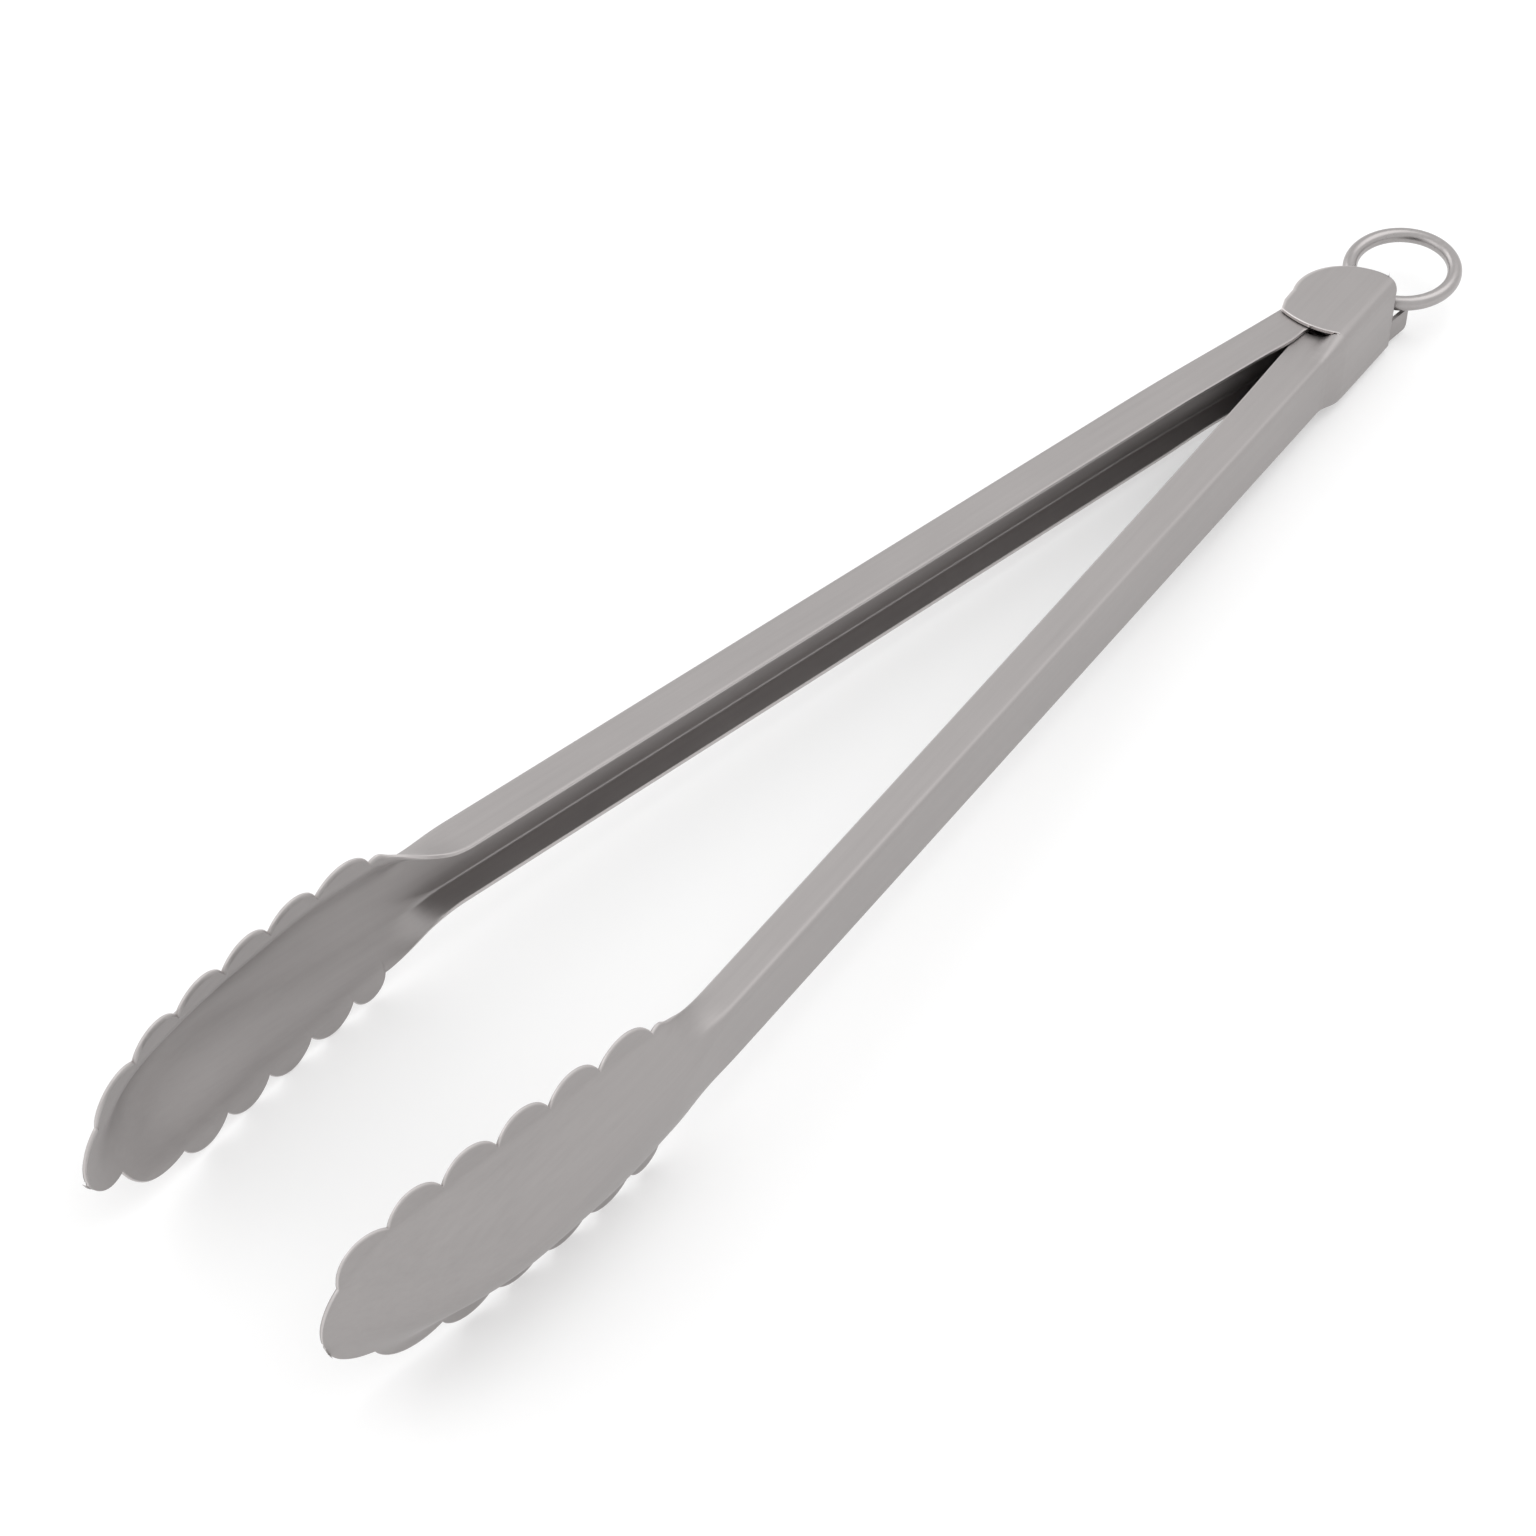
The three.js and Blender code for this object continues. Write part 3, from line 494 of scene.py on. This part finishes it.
def closed_grid(name, grid, ends=False, sharp=35.0):
    """A mesh from a grid that closes on itself across its columns, and along its rows too unless
    it has ends, which are then closed by a fan round their middle."""
    m, n = grid.shape[:2]
    index = np.arange(m * n).reshape(m, n)
    along = index if ends else np.concatenate([index, index[:1]])
    a, b = along[:-1], np.roll(along, -1, axis=1)[:-1]
    c, d = np.roll(along, -1, axis=1)[1:], along[1:]
    faces = np.concatenate([np.stack([a, b, c], 2).reshape(-1, 3),
                            np.stack([a, c, d], 2).reshape(-1, 3)])
    points = grid.reshape(-1, 3)
    if ends:
        points = np.concatenate([points, grid[:1].mean(axis=1), grid[-1:].mean(axis=1)])
        first, last = index[0], index[-1]
        faces = np.concatenate([
            faces,
            np.stack([np.roll(first, -1), first, np.full(n, m * n)], 1),
            np.stack([last, np.roll(last, -1), np.full(n, m * n + 1)], 1)])
    if volume(points, faces) < 0:
        faces = faces[:, ::-1]
    return add_mesh(name, points, faces, sharp=sharp)


def tube(name, path, radius, sides, ends):
    """A round wire: a circle carried along a path of points, square to it everywhere."""
    ahead, behind = np.roll(path, -1, axis=0), np.roll(path, 1, axis=0)
    if ends:
        ahead[-1], behind[0] = path[-1], path[0]
    tangent = unit(ahead - behind)
    side = unit(np.cross(tangent, (0.0, 0.0, 1.0)))
    up = np.cross(side, tangent)
    turn = np.linspace(0, 2 * np.pi, sides, endpoint=False)
    reach = np.full(len(path), radius)
    circle = side[:, None] * np.cos(turn)[None, :, None] + up[:, None] * np.sin(turn)[None, :, None]
    grid = path[:, None] + circle * reach[:, None, None]
    return closed_grid(name, grid, ends)


# ---- shader maths -----------------------------------------------------------------------------
class Value:
    """A number that varies over a surface; each operation on it adds one Math node."""

    def __init__(self, look, socket):
        self.look = look
        self.socket = socket

    def _with(self, operation, *operands):
        node = self.look.node("ShaderNodeMath", {"operation": operation},
                              {i: v for i, v in enumerate(operands)})
        return Value(self.look, node.outputs[0])

    def __add__(self, other):
        return self._with("ADD", self, other)

    def __radd__(self, other):
        return self._with("ADD", other, self)

    def __sub__(self, other):
        return self._with("SUBTRACT", self, other)

    def __rsub__(self, other):
        return self._with("SUBTRACT", other, self)

    def __mul__(self, other):
        return self._with("MULTIPLY", self, other)

    def __rmul__(self, other):
        return self._with("MULTIPLY", other, self)

    def __truediv__(self, other):
        return self._with("DIVIDE", self, other)

    def __rtruediv__(self, other):
        return self._with("DIVIDE", other, self)

    def __pow__(self, other):
        return self._with("POWER", self, other)

    def over(self, limit):
        return self._with("MAXIMUM", self, limit)

    def under(self, limit):
        return self._with("MINIMUM", self, limit)


class Look:
    """One material under construction."""

    def __init__(self, name):
        self.material = bpy.data.materials.new(name)
        self.material.use_nodes = True
        self.tree = self.material.node_tree
        self.tree.nodes.clear()

    def node(self, kind, settings=None, values=None):
        """Any node: its settings first, then the values or links of its input sockets."""
        made = self.tree.nodes.new(kind)
        for key, setting in (settings or {}).items():
            setattr(made, key, setting)
        for key, value in (values or {}).items():
            socket = made.inputs[key]
            if isinstance(value, Value):
                value = value.socket
            if isinstance(value, bpy.types.NodeSocket):
                self.tree.links.new(value, socket)
            else:
                socket.default_value = value
        return made

    def value(self, kind, settings=None, values=None, output=0):
        return Value(self, self.node(kind, settings, values).outputs[output])

    def place(self, scale, turn=0.0):
        """Object coordinates centred on the hinge pin, turned about it and scaled."""
        coords = self.node("ShaderNodeTexCoord").outputs["Object"]
        centre = Matrix.Rotation(turn, 3, "Z") @ bpy_vector(-PIN)
        moved = self.node("ShaderNodeMapping", {"vector_type": "POINT"}, {
            "Vector": coords, "Location": tuple(centre), "Rotation": (0.0, 0.0, turn)})
        return self.node("ShaderNodeVectorMath", {"operation": "MULTIPLY"},
                         {0: moved.outputs[0], 1: scale}).outputs[0]

    def noise(self, place, detail=2.0, roughness=0.5):
        return self.value("ShaderNodeTexNoise", {"noise_dimensions": "3D"},
                          {"Vector": place, "Scale": 1.0, "Detail": detail,
                           "Roughness": roughness})

    def band(self, value, low, high):
        """0 below low, 1 above high, smooth between."""
        return self.value("ShaderNodeMapRange", {"interpolation_type": "SMOOTHSTEP"},
                          {0: value, 1: low, 2: high, 3: 0.0, 4: 1.0})

    def blend(self, share, one, two):
        made = self.node("ShaderNodeMix", {"data_type": "RGBA"}, {0: share, 6: one, 7: two})
        return made.outputs[2]

    def finish(self, base, roughness, height, distance, constants):
        bump = self.node("ShaderNodeBump", None, {"Strength": 1.0, "Distance": distance,
                                                  "Height": height})
        values = {"Base Color": base, "Roughness": roughness, "Normal": bump.outputs[0]}
        shader = self.node("ShaderNodeBsdfPrincipled", None, {**values, **constants})
        self.node("ShaderNodeOutputMaterial", None, {"Surface": shader.outputs[0]})
        return self.material


def bpy_vector(array):
    return Vector(array.tolist())


def grey(colour, factor):
    return tuple(min(1.0, c * factor) for c in colour[:3]) + (1.0,)


def brushed_steel(name, finish, turn=0.0, fine=1.0, bright=1.0, rough=None, with_rim=False):
    """Satin steel: long fine brush lines, faint handling marks, a soft cloudy change of tone and,
    where the sheet is cut, a smoother edge whose colour is brightened as a painted highlight."""
    look = Look(name)
    rough = finish.roughness if rough is None else rough
    across = 1500.0 * fine
    lines = look.noise(look.place((60.0, across, across), turn), 3.0, 0.6)
    long_lines = look.noise(look.place((14.0, across * 0.45, across * 0.45), turn), 2.0)
    cloud = look.noise(look.place((28.0, 45.0, 45.0), turn), 3.0)
    scuffs = look.noise(look.place((420.0, 160.0, 160.0), turn + 0.6), 4.0, 0.65)
    marks = look.band(scuffs, 0.62, 0.78)
    grain = (lines + long_lines) * 0.5
    tone = (grain - 0.5) * finish.grain + (cloud - 0.5) * 0.5 + 0.5 + marks * 0.12
    base = look.blend(tone.over(0.0).under(1.0), grey(finish.steel, 0.86 * bright),
                      grey(finish.steel, 1.12 * bright))
    roughness = rough + (grain - 0.5) * 0.16 + (cloud - 0.5) * 0.10 + marks * 0.05
    if with_rim:
        # Painted highlight: the rim attribute lifts the cut edge's colour to twice the steel's; the
        # lower roughness there is the edge's real polish.
        rim = look.value("ShaderNodeAttribute", {"attribute_name": "rim"}, None, 2)
        base = look.blend(rim, base, grey(finish.steel, 2.0 * bright))
        roughness = roughness - rim * (rough * 0.45)
    return look.finish(base, roughness, grain, finish.grain_depth, {"Metallic": 1.0})


# ---- settings ---------------------------------------------------------------------------------
class TongsSizes(bpy.types.PropertyGroup):
    sheet: bpy.props.FloatProperty(name="Sheet", description="Thickness of the pressed sheet",
                                   default=SHEET * MM, subtype="DISTANCE", unit="LENGTH")
    chamfer: bpy.props.FloatProperty(name="Edge chamfer",
                                     description="Width of the broken edge of the sheet",
                                     default=0.00014, subtype="DISTANCE", unit="LENGTH")
    half_angle: bpy.props.FloatProperty(name="Half opening angle",
                                        description="Angle of each arm from the middle plane",
                                        default=math.radians(6.41), subtype="ANGLE")
    wire: bpy.props.FloatProperty(name="Spring wire", description="Diameter of the spring wire",
                                  default=0.0016, subtype="DISTANCE", unit="LENGTH")
    coil: bpy.props.FloatProperty(name="Spring coil", description="Mean diameter of the coil",
                                  default=0.010, subtype="DISTANCE", unit="LENGTH")
    turns: bpy.props.IntProperty(name="Spring turns", description="Turns of the spring",
                                 default=5)
    ring_wire: bpy.props.FloatProperty(name="Ring wire", description="Diameter of the ring's wire",
                                       default=0.0036, subtype="DISTANCE", unit="LENGTH")


class TongsFinish(bpy.types.PropertyGroup):
    steel: bpy.props.FloatVectorProperty(name="Steel", description="Colour of the brushed steel",
                                         default=(0.385, 0.366, 0.362), size=3, subtype="COLOR",
                                         min=0.0, max=1.0)
    roughness: bpy.props.FloatProperty(name="Roughness", description="Satin of the brushed steel",
                                       default=0.52, min=0.0, max=1.0)
    grain: bpy.props.FloatProperty(name="Grain", description="Strength of the brush lines' tone",
                                   default=0.9, min=0.0, max=2.0)
    grain_depth: bpy.props.FloatProperty(name="Grain depth", description="Depth of brush lines",
                                         default=0.00002, subtype="DISTANCE", unit="LENGTH")


class TongsStage(bpy.types.PropertyGroup):
    floor: bpy.props.FloatVectorProperty(name="Floor", description="Colour of the floor",
                                         default=(0.62, 0.62, 0.62), size=3, subtype="COLOR",
                                         min=0.0, max=1.0)
    glow: bpy.props.FloatProperty(name="Floor glow", description="Light from below the floor",
                                  default=0.36, min=0.0)
    key: bpy.props.FloatProperty(name="Key light", description="Power of the large soft light",
                                 default=3.5, unit="POWER")
    room: bpy.props.FloatProperty(name="Room light", description="Brightness of the plain room",
                                  default=1.0)
    lens: bpy.props.FloatProperty(name="Lens", description="Focal length of the camera",
                                  default=100.0, subtype="DISTANCE_CAMERA")


def settings():
    scene = bpy.context.scene
    return scene.tongs_sizes, scene.tongs_finish, scene.tongs_stage


def dress(piece, body, slot, material, *nodes):
    piece.data.materials.clear()
    piece.data.materials.append(material)
    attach(piece, body)
    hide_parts(*nodes)


# ---- operators --------------------------------------------------------------------------------
class TONGS_OT_outer_arm(bpy.types.Operator):
    """Build the outer arm with its ears"""
    bl_idname = "tongs.outer_arm"
    bl_label = "Outer arm"

    def execute(self, context):
        sizes, finish, _ = settings()
        arm = build_arm("outer_arm_sheet", outer_arm_grid(), 1, sizes)
        steel = brushed_steel("brushed_outer_arm", finish, -sizes.half_angle, with_rim=True)
        dress(arm, "outer", "arm_steel", steel, "outer_arm")
        return {"FINISHED"}


class TONGS_OT_inner_arm(bpy.types.Operator):
    """Build the inner arm that nests between the ears"""
    bl_idname = "tongs.inner_arm"
    bl_label = "Inner arm"

    def execute(self, context):
        sizes, finish, _ = settings()
        arm = build_arm("inner_arm_sheet", inner_arm_grid(), -1, sizes)
        steel = brushed_steel("brushed_inner_arm", finish, sizes.half_angle, with_rim=True)
        dress(arm, "inner", "arm_steel", steel, "inner_arm")
        return {"FINISHED"}


class TONGS_OT_hinge(bpy.types.Operator):
    """Build the hinge pin, the sleeve on it and the spring's washer"""
    bl_idname = "tongs.hinge"
    bl_label = "Hinge pieces"

    def execute(self, context):
        _, finish, _ = settings()
        steel = brushed_steel("turned_pin", finish, 0.0, 1.6, 1.1, 0.24)
        for node in ("hinge_pin", "pivot_sleeve", "spring_washer"):
            low, high = (np.array(corner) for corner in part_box(node))
            low, high = (low - PIN) / MM, (high - PIN) / MM
            outer = high[0]
            inner = 0.0 if node == "hinge_pin" else 2.48
            cut = 0.15
            outline = [(outer, low[2] + cut), (outer, high[2] - cut), (outer - cut, high[2]),
                       (inner + cut, high[2]), (inner, high[2] - cut), (inner, low[2] + cut),
                       (inner + cut, low[2]), (outer - cut, low[2])]
            if node == "hinge_pin":
                outline = [(outer, low[2] + cut), (outer, high[2] - cut),
                           (outer - cut, high[2]), (0.01, high[2]), (0.01, low[2]),
                           (outer - cut, low[2])]
            piece = revolve(node + "_turned", outline)
            dress(piece, "outer", "pin_steel", steel, node)
        return {"FINISHED"}


class TONGS_OT_spring(bpy.types.Operator):
    """Wind the torsion spring with its two legs"""
    bl_idname = "tongs.spring"
    bl_label = "Torsion spring"

    def execute(self, context):
        sizes, finish, _ = settings()
        radius = sizes.coil / 2 / MM
        lean = math.radians(8.3)
        leg, pitch = 22.0, 1.95
        sweep = sizes.turns * 2 * math.pi - math.pi - 2 * lean
        length = sweep * radius
        s = np.concatenate([np.linspace(-leg, -0.5, 24), np.linspace(0, length, 420),
                            np.linspace(length + 0.5, length + leg, 24)])
        turned = np.clip(s, 0, length)
        angle = math.pi / 2 + lean + sweep * turned / length
        extra = s - turned
        path = np.stack([radius * np.cos(angle) - np.sin(angle) * extra,
                         radius * np.sin(angle) + np.cos(angle) * extra,
                         pitch * sweep / (2 * math.pi) * (turned / length - 0.5)], 1)
        wire = tube("torsion_spring_wire", path * MM + PIN, sizes.wire / 2 * 0.985, 20, True)
        steel = brushed_steel("spring_wire_steel", finish, 0.0, 1.4, 0.8, 0.30)
        dress(wire, "outer", "spring_steel", steel, "torsion_spring")
        return {"FINISHED"}


class TONGS_OT_slide(bpy.types.Operator):
    """Give the lock slide its brushed steel"""
    bl_idname = "tongs.slide"
    bl_label = "Lock slide"

    def execute(self, context):
        _, finish, _ = settings()
        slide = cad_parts["lock_slide"]
        steel = brushed_steel("brushed_slide", finish, 0.0, 1.0, 0.95)
        for slot in slide.material_slots:
            slot.material = steel
        return {"FINISHED"}


class TONGS_OT_ring(bpy.types.Operator):
    """Bend the pull ring that hangs in the slide's eye"""
    bl_idname = "tongs.ring"
    bl_label = "Pull ring"

    def execute(self, context):
        sizes, finish, _ = settings()
        low, high = (np.array(corner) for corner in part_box("pull_ring"))
        wire = sizes.ring_wire / 2
        radius = (high[1] - low[1]) / 2 - wire
        tilt = math.radians(7.0)
        centre = (low + high) / 2
        turn = np.linspace(0, 2 * np.pi, 160, endpoint=False)
        path = np.stack([radius * np.cos(turn) * math.cos(tilt), radius * np.sin(turn),
                         -radius * np.cos(turn) * math.sin(tilt)], 1) + centre
        ring = tube("pull_ring_wire", path, wire, 36, False)
        steel = brushed_steel("satin_ring", finish, 0.0, 1.8, 1.0, 0.30)
        dress(ring, "ring", "ring_steel", steel, "pull_ring")
        return {"FINISHED"}


class TONGS_OT_stage(bpy.types.Operator):
    """Set the pale floor, the soft lights and the camera"""
    bl_idname = "tongs.stage"
    bl_label = "Stage"

    def execute(self, context):
        _, _, stage = settings()
        slope, lowest = resting_line()
        x = np.array([-3.0, 3.0])
        corners = [(x[0], -3.0), (x[1], -3.0), (x[1], 3.0), (x[0], 3.0)]
        points = [(a, b, lowest + slope * a - 0.0001) for a, b in corners]
        floor = add_mesh("floor", points, [(0, 1, 2, 3)])
        look = Look("pale_floor")
        cloud = look.noise(look.place((3.0, 3.0, 3.0)), 2.0)
        base = look.blend(cloud, grey(stage.floor, 0.99), grey(stage.floor, 1.01))
        shader = look.node("ShaderNodeBsdfPrincipled", None, {
            "Base Color": base, "Roughness": 0.9, "Emission Color": (1.0, 1.0, 1.0, 1.0),
            "Emission Strength": stage.glow})
        look.node("ShaderNodeOutputMaterial", None, {"Surface": shader.outputs[0]})
        floor.data.materials.append(look.material)
        self.light("key", (-0.5, 0.2, 1.2), (0.0, 0.0, 0.0), 1.2, stage.key)
        self.light("fill", (0.9, -0.9, 0.8), (0.0, 0.0, 0.0), 1.0, stage.key * 0.5)
        self.light("rim", (-0.2, -1.2, 0.7), (0.0, 0.0, 0.0), 0.8, stage.key * 0.5)
        world = bpy.data.worlds.new("plain_room")
        world.use_nodes = True
        back = world.node_tree.nodes["Background"]
        back.inputs["Color"].default_value = (1.0, 1.0, 1.0, 1.0)
        back.inputs["Strength"].default_value = stage.room
        context.scene.world = world
        context.scene.view_settings.view_transform = "Standard"
        data = bpy.data.cameras.new("camera")
        data.lens = stage.lens
        data.sensor_width = 36.0
        camera = bpy.data.objects.new("camera", data)
        context.scene.collection.objects.link(camera)
        right, up, back = ((-0.62431, 0.78062, 0.02951), (-0.50743, -0.43397, 0.74444),
                           (0.59393, 0.44978, 0.66704))
        at = PIN + np.array((0.74110, 0.39769, 0.59698))
        camera.matrix_world = Matrix([(right[i], up[i], back[i], at[i]) for i in range(3)]
                                     + [(0, 0, 0, 1)])
        context.scene.camera = camera
        return {"FINISHED"}

    @staticmethod
    def light(name, at, to, size, power):
        data = bpy.data.lights.new(name, "AREA")
        data.shape = "DISK"
        data.size = size
        data.energy = power
        lamp = bpy.data.objects.new(name, data)
        bpy.context.scene.collection.objects.link(lamp)
        back = bpy_vector(np.array(at) - np.array(to))
        lamp.location = at
        lamp.rotation_euler = back.to_track_quat("Z", "Y").to_euler()


def resting_line():
    """Slope and height at x = 0 of the line under the object that it rests on: of all lines
    z = height + slope x below every point, the one highest under the centre."""
    points = []
    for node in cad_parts.values():
        flat = np.empty(len(node.data.vertices) * 3, np.float32)
        node.data.vertices.foreach_get("co", flat)
        points.append(flat.reshape(-1, 3))
    points = np.concatenate(points)
    slopes = np.linspace(-0.1, 0.1, 2001)
    heights = np.min(points[:, 2][None] - slopes[:, None] * points[:, 0][None], axis=1)
    best = np.argmax(heights)
    return slopes[best], heights[best]


class TONGS_PT_panel(bpy.types.Panel):
    bl_label = "Tongs"
    bl_idname = "TONGS_PT_panel"
    bl_space_type = "VIEW_3D"
    bl_region_type = "UI"
    bl_category = "Tongs"

    def draw(self, context):
        for group in ("tongs_sizes", "tongs_finish", "tongs_stage"):
            owner = getattr(context.scene, group)
            for name in owner.bl_rna.properties.keys():
                if name not in ("rna_type", "name"):
                    self.layout.prop(owner, name)
        for operator in OPERATORS:
            self.layout.operator(operator.bl_idname)


OPERATORS = (TONGS_OT_outer_arm, TONGS_OT_inner_arm, TONGS_OT_hinge, TONGS_OT_spring,
             TONGS_OT_slide, TONGS_OT_ring, TONGS_OT_stage)
GROUPS = {"tongs_sizes": TongsSizes, "tongs_finish": TongsFinish, "tongs_stage": TongsStage}


def register():
    for made in (*GROUPS.values(), *OPERATORS, TONGS_PT_panel):
        bpy.utils.register_class(made)
    for name, group in GROUPS.items():
        setattr(bpy.types.Scene, name, bpy.props.PointerProperty(type=group))


def unregister():
    for name in GROUPS:
        delattr(bpy.types.Scene, name)
    for made in (TONGS_PT_panel, *OPERATORS[::-1], *list(GROUPS.values())[::-1]):
        bpy.utils.unregister_class(made)


def main():
    register()
    bpy.ops.tongs.outer_arm()
    bpy.ops.tongs.inner_arm()
    bpy.ops.tongs.hinge()
    bpy.ops.tongs.spring()
    bpy.ops.tongs.slide()
    bpy.ops.tongs.ring()
    bpy.ops.tongs.stage()


if __name__ == "__main__":
    main()
